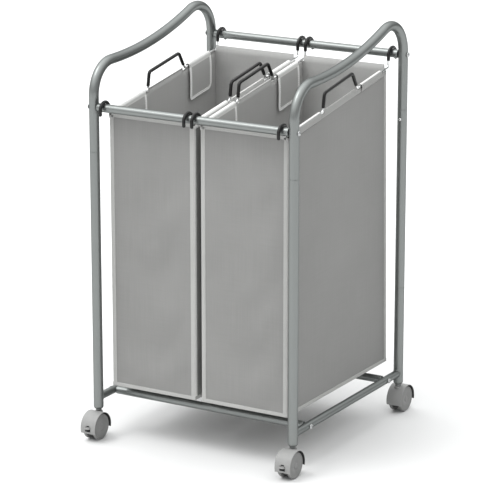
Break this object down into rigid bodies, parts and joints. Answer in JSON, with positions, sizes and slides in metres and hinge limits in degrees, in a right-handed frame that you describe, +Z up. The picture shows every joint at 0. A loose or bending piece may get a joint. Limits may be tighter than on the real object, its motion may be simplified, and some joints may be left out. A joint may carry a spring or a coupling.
{
  "type": "laundry sorter",
  "caption": "Wheeled laundry sorter: tube frame with two raised side handles, and tall fabric bags hung side by side from hooked wires over its top bars.",
  "frame": {"origin": "middle of the overall width and depth (brake levers included), on the floor", "axes": "+Z up; front at -Y, with the lower top bar and the braked casters; +X to the sorter's right as seen from the front"},
  "size_m": [0.465, 0.5124, 0.8],
  "materials": {
    "silver_paint": "satin silver-grey powder coat",
    "bright_plating": "bright zinc plate",
    "grey_plastic": "fine matte moulding",
    "grey_fabric": "heavy grey woven polyester with pale bindings",
    "black_vinyl": "satin black dipped vinyl"
  },
  "bodies": {
    "frame": {"left_handle": "silver_paint", "left_side_rail": "silver_paint", "right_handle": "silver_paint", "right_side_rail": "silver_paint", "front_top_bar": "silver_paint", "front_cross_rail": "silver_paint", "front_left_bar_screw": "bright_plating", "front_left_rail_bolt": "bright_plating", "front_right_bar_screw": "bright_plating", "front_right_rail_bolt": "bright_plating", "rear_top_bar": "silver_paint", "rear_cross_rail": "silver_paint", "rear_left_bar_screw": "bright_plating", "rear_left_rail_bolt": "bright_plating", "rear_right_bar_screw": "bright_plating", "rear_right_rail_bolt": "bright_plating", "front_left_post": "silver_paint", "front_left_foot_socket": "silver_paint", "front_left_caster_stem": "bright_plating", "front_right_post": "silver_paint", "front_right_foot_socket": "silver_paint", "front_right_caster_stem": "bright_plating", "rear_left_post": "silver_paint", "rear_left_foot_socket": "silver_paint", "rear_left_caster_stem": "bright_plating", "rear_right_post": "silver_paint", "rear_right_foot_socket": "silver_paint", "rear_right_caster_stem": "bright_plating"},
    "front_left_button": {"front_left_snap_button": "bright_plating"},
    "front_right_button": {"front_right_snap_button": "bright_plating"},
    "rear_left_button": {"rear_left_snap_button": "bright_plating"},
    "rear_right_button": {"rear_right_snap_button": "bright_plating"},
    "front_left_swivel": {"front_left_caster_hood": "grey_plastic", "front_left_caster_axle": "bright_plating"},
    "front_left_left_wheel": {"front_left_caster_left_wheel": "grey_plastic"},
    "front_left_right_wheel": {"front_left_caster_right_wheel": "grey_plastic"},
    "front_left_brake": {"front_left_brake_lever": "grey_plastic"},
    "front_right_swivel": {"front_right_caster_hood": "grey_plastic", "front_right_caster_axle": "bright_plating"},
    "front_right_left_wheel": {"front_right_caster_left_wheel": "grey_plastic"},
    "front_right_right_wheel": {"front_right_caster_right_wheel": "grey_plastic"},
    "front_right_brake": {"front_right_brake_lever": "grey_plastic"},
    "rear_left_swivel": {"rear_left_caster_hood": "grey_plastic", "rear_left_caster_axle": "bright_plating"},
    "rear_left_left_wheel": {"rear_left_caster_left_wheel": "grey_plastic"},
    "rear_left_right_wheel": {"rear_left_caster_right_wheel": "grey_plastic"},
    "rear_right_swivel": {"rear_right_caster_hood": "grey_plastic", "rear_right_caster_axle": "bright_plating"},
    "rear_right_left_wheel": {"rear_right_caster_left_wheel": "grey_plastic"},
    "rear_right_right_wheel": {"rear_right_caster_right_wheel": "grey_plastic"},
    "left_bag_on_wires": {"left_bag": "grey_fabric", "left_bag_left_wire": "bright_plating", "left_bag_left_grip": "black_vinyl", "left_bag_right_wire": "bright_plating", "left_bag_right_grip": "black_vinyl"},
    "right_bag_on_wires": {"right_bag": "grey_fabric", "right_bag_left_wire": "bright_plating", "right_bag_left_grip": "black_vinyl", "right_bag_right_wire": "bright_plating", "right_bag_right_grip": "black_vinyl"}
  },
  "joints": [
    {"name": "front_left_button_press", "type": "slide", "parent": "frame", "child": "front_left_button", "axis": [0, -1, 0], "range_m": [0, 0.0018], "stiffness_N_per_m": 400},
    {"name": "front_right_button_press", "type": "slide", "parent": "frame", "child": "front_right_button", "axis": [0, -1, 0], "range_m": [0, 0.0018], "stiffness_N_per_m": 400},
    {"name": "rear_left_button_press", "type": "slide", "parent": "frame", "child": "rear_left_button", "axis": [0, 1, 0], "range_m": [0, 0.0018], "stiffness_N_per_m": 400},
    {"name": "rear_right_button_press", "type": "slide", "parent": "frame", "child": "rear_right_button", "axis": [0, 1, 0], "range_m": [0, 0.0018], "stiffness_N_per_m": 400},
    {"name": "front_left_caster_swivel", "type": "hinge", "parent": "frame", "child": "front_left_swivel", "pos_m": [-0.216, -0.21075, 0.05], "axis": [0, 0, 1], "continuous": true},
    {"name": "front_left_left_wheel_spin", "type": "hinge", "parent": "front_left_swivel", "child": "front_left_left_wheel", "pos_m": [-0.216, -0.22175, 0.0255], "axis": [1, 0, 0], "continuous": true},
    {"name": "front_left_right_wheel_spin", "type": "hinge", "parent": "front_left_swivel", "child": "front_left_right_wheel", "pos_m": [-0.216, -0.22175, 0.0255], "axis": [1, 0, 0], "continuous": true},
    {"name": "front_left_brake_press", "type": "hinge", "parent": "front_left_swivel", "child": "front_left_brake", "pos_m": [-0.216, -0.23825, 0.0263], "axis": [1, 0, 0], "range_deg": [0, 12]},
    {"name": "front_right_caster_swivel", "type": "hinge", "parent": "frame", "child": "front_right_swivel", "pos_m": [0.216, -0.21075, 0.05], "axis": [0, 0, 1], "continuous": true},
    {"name": "front_right_left_wheel_spin", "type": "hinge", "parent": "front_right_swivel", "child": "front_right_left_wheel", "pos_m": [0.216, -0.22175, 0.0255], "axis": [1, 0, 0], "continuous": true},
    {"name": "front_right_right_wheel_spin", "type": "hinge", "parent": "front_right_swivel", "child": "front_right_right_wheel", "pos_m": [0.216, -0.22175, 0.0255], "axis": [1, 0, 0], "continuous": true},
    {"name": "front_right_brake_press", "type": "hinge", "parent": "front_right_swivel", "child": "front_right_brake", "pos_m": [0.216, -0.23825, 0.0263], "axis": [1, 0, 0], "range_deg": [0, 12]},
    {"name": "rear_left_caster_swivel", "type": "hinge", "parent": "frame", "child": "rear_left_swivel", "pos_m": [-0.216, 0.21625, 0.05], "axis": [0, 0, 1], "continuous": true},
    {"name": "rear_left_left_wheel_spin", "type": "hinge", "parent": "rear_left_swivel", "child": "rear_left_left_wheel", "pos_m": [-0.216, 0.22725, 0.0255], "axis": [1, 0, 0], "continuous": true},
    {"name": "rear_left_right_wheel_spin", "type": "hinge", "parent": "rear_left_swivel", "child": "rear_left_right_wheel", "pos_m": [-0.216, 0.22725, 0.0255], "axis": [1, 0, 0], "continuous": true},
    {"name": "rear_right_caster_swivel", "type": "hinge", "parent": "frame", "child": "rear_right_swivel", "pos_m": [0.216, 0.21625, 0.05], "axis": [0, 0, 1], "continuous": true},
    {"name": "rear_right_left_wheel_spin", "type": "hinge", "parent": "rear_right_swivel", "child": "rear_right_left_wheel", "pos_m": [0.216, 0.22725, 0.0255], "axis": [1, 0, 0], "continuous": true},
    {"name": "rear_right_right_wheel_spin", "type": "hinge", "parent": "rear_right_swivel", "child": "rear_right_right_wheel", "pos_m": [0.216, 0.22725, 0.0255], "axis": [1, 0, 0], "continuous": true},
    {"name": "left_bag_lift_off", "type": "slide", "parent": "frame", "child": "left_bag_on_wires", "axis": [0, 0, 1], "range_m": [0, 0.72]},
    {"name": "right_bag_lift_off", "type": "slide", "parent": "frame", "child": "right_bag_on_wires", "axis": [0, 0, 1], "range_m": [0, 0.72]}
  ]
}
